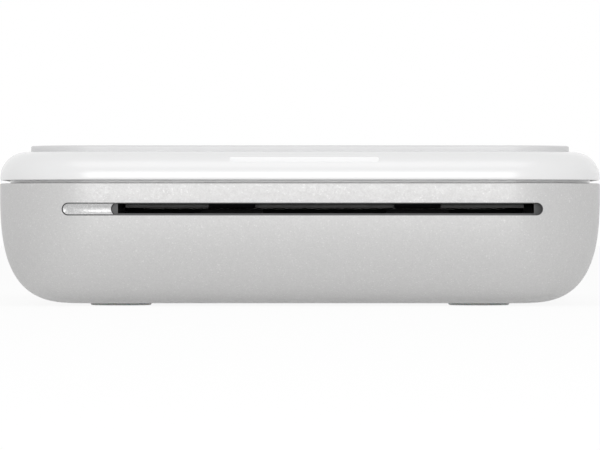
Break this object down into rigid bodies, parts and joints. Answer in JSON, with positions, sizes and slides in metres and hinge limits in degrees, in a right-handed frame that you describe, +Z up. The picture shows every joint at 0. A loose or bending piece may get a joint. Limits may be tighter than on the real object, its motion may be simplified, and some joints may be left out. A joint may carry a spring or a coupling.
{
  "type": "compact photo printer",
  "caption": "Pocket photo printer: silver bowl-shaped base, hinged white cover with a raised panel, front paper slot, rollers, gear train, print head, battery and boards inside.",
  "frame": {"origin": "centre of the footprint, on the supporting surface", "axes": "+X to the right of the front face, +Y from the front to the back, +Z up"},
  "size_m": [0.0782, 0.1182, 0.0208],
  "materials": {
    "base_paint": "fine metallic silver paint on moulded plastic",
    "cover_gloss": "glossy white moulded plastic",
    "panel_satin": "satin light grey sheet",
    "lens_pearl": "translucent pearl light window",
    "black_plastic": "moulded black plastic",
    "frame_plastic": "dark grey moulded plastic",
    "clip_plastic": "white moulded plastic",
    "steel": "bright sheet and bar steel",
    "plated": "plated steel can",
    "aluminium": "plain aluminium",
    "ceramic": "glazed ceramic",
    "rubber": "ground black rubber",
    "foot_rubber": "clear silicone rubber",
    "gear_plastic": "natural acetal",
    "brass": "plain brass",
    "board": "green solder mask",
    "chip": "black moulded package",
    "polyimide": "amber film",
    "pouch": "grey laminate pouch",
    "foam": "adhesive foam",
    "lead_red": "red wire insulation",
    "lead_black": "black wire insulation",
    "light_clear": "clear moulded plastic"
  },
  "bodies": {
    "chassis": {"base_housing": "base_paint", "rubber_feet": "foot_rubber", "status_lens": "lens_pearl", "status_board": "board", "exit_guide": "black_plastic", "rear_cap": "cover_gloss", "hinge_pins": "steel", "magnet_keepers": "steel", "mid_frame": "frame_plastic", "left_side_plate": "steel", "right_side_plate": "steel", "head_bridge": "steel", "head_springs": "steel", "head_flex": "polyimide", "platen_bushes": "gear_plastic", "gear_axles": "steel", "feed_motor": "plated", "motor_lead": "lead_red", "paper_sensor": "black_plastic", "battery": "pouch", "battery_pad": "foam", "battery_lead": "lead_black", "main_board": "board", "board_chips": "chip", "board_connectors": "gear_plastic", "usb_port": "steel", "power_switch": "black_plastic", "reset_switch": "black_plastic", "charge_light": "light_clear", "frame_screws": "steel", "board_screws": "steel", "motor_screws": "steel", "cap_screws": "steel"},
    "lid": {"top_cover": "cover_gloss", "cover_panel": "panel_satin", "cover_magnets": "plated", "presser_rails": "clip_plastic", "presser_springs": "steel"},
    "presser": {"presser_plate": "steel"},
    "head": {"print_head": "ceramic", "heat_sink": "aluminium"},
    "platen": {"platen_shaft": "steel", "platen_roller": "rubber", "platen_gear": "gear_plastic"},
    "exit_roller": {"exit_shaft": "steel", "exit_tyres": "rubber", "exit_gear": "gear_plastic"},
    "exit_idler": {"exit_idler": "gear_plastic"},
    "pinch_roller": {"pinch_shaft": "steel", "pinch_wheels": "black_plastic"},
    "pick_roller": {"pick_shaft": "steel", "pick_tyres": "rubber", "pick_gear": "gear_plastic"},
    "pick_idler": {"pick_idler": "gear_plastic"},
    "reduction_b": {"reduction_gear_b": "gear_plastic"},
    "reduction_a": {"reduction_gear_a": "gear_plastic"},
    "motor_shaft": {"motor_pinion": "brass"},
    "flag": {"paper_flag": "black_plastic"},
    "power_key": {"power_button": "base_paint"},
    "reset_key": {"reset_plunger": "clip_plastic"}
  },
  "joints": [
    {"name": "lid_hinge", "type": "hinge", "parent": "chassis", "child": "lid", "pos_m": [0, 0.0455, 0.01815], "axis": [-1, 0, 0], "range_deg": [0, 90]},
    {"name": "presser_slide", "type": "slide", "parent": "lid", "child": "presser", "axis": [0, 0, 1], "range_m": [0, 0.0024], "stiffness_N_per_m": 200, "springref_m": -0.002, "deforming": ["presser_springs"]},
    {"name": "head_tilt", "type": "hinge", "parent": "chassis", "child": "head", "pos_m": [0, -0.0418, 0.01394], "axis": [-1, 0, 0], "range_deg": [0, 2], "stiffness_Nm_per_rad": 0.05, "springref_deg": -2.86, "deforming": ["head_springs", "head_flex"]},
    {"name": "platen_spin", "type": "hinge", "parent": "chassis", "child": "platen", "pos_m": [0, -0.046, 0.00904], "axis": [1, 0, 0], "continuous": true},
    {"name": "exit_spin", "type": "hinge", "parent": "chassis", "child": "exit_roller", "pos_m": [0, -0.053, 0.01054], "axis": [1, 0, 0], "continuous": true},
    {"name": "exit_idler_spin", "type": "hinge", "parent": "chassis", "child": "exit_idler", "pos_m": [0, -0.05173, 0.00596], "axis": [1, 0, 0], "continuous": true},
    {"name": "pinch_spin", "type": "hinge", "parent": "chassis", "child": "pinch_roller", "pos_m": [0, -0.053, 0.0138], "axis": [1, 0, 0], "continuous": true},
    {"name": "pick_spin", "type": "hinge", "parent": "chassis", "child": "pick_roller", "pos_m": [0, -0.03, 0.0089], "axis": [1, 0, 0], "continuous": true},
    {"name": "pick_idler_spin", "type": "hinge", "parent": "chassis", "child": "pick_idler", "pos_m": [0, -0.038, 0.00897], "axis": [1, 0, 0], "continuous": true},
    {"name": "reduction_b_spin", "type": "hinge", "parent": "chassis", "child": "reduction_b", "pos_m": [0, -0.023, 0.0089], "axis": [1, 0, 0], "continuous": true},
    {"name": "reduction_a_spin", "type": "hinge", "parent": "chassis", "child": "reduction_a", "pos_m": [0, -0.0158, 0.0089], "axis": [1, 0, 0], "continuous": true},
    {"name": "motor_spin", "type": "hinge", "parent": "chassis", "child": "motor_shaft", "pos_m": [0, -0.01039, 0.0063], "axis": [1, 0, 0], "continuous": true},
    {"name": "flag_swing", "type": "hinge", "parent": "chassis", "child": "flag", "pos_m": [0, -0.016, 0.009], "axis": [1, 0, 0], "range_deg": [0, 20], "stiffness_Nm_per_rad": 0.0005, "springref_deg": -11.46},
    {"name": "power_press", "type": "slide", "parent": "chassis", "child": "power_key", "axis": [0, -1, 0], "range_m": [0, 0.0004], "stiffness_N_per_m": 800, "springref_m": -0.0002},
    {"name": "reset_press", "type": "slide", "parent": "chassis", "child": "reset_key", "axis": [0, -1, 0], "range_m": [0, 0.00025], "stiffness_N_per_m": 600, "springref_m": -0.0002}
  ],
  "couplings": [
    {"joint": "exit_idler_spin", "follows": "platen_spin", "ratio": -1.6},
    {"joint": "exit_spin", "follows": "platen_spin", "ratio": 1.7778},
    {"joint": "pinch_spin", "follows": "platen_spin", "ratio": -2.963},
    {"joint": "pick_idler_spin", "follows": "platen_spin", "ratio": -1},
    {"joint": "pick_spin", "follows": "platen_spin", "ratio": 1},
    {"joint": "reduction_b_spin", "follows": "platen_spin", "ratio": -1.3333},
    {"joint": "reduction_a_spin", "follows": "platen_spin", "ratio": 2.6667},
    {"joint": "motor_spin", "follows": "platen_spin", "ratio": -8}
  ]
}
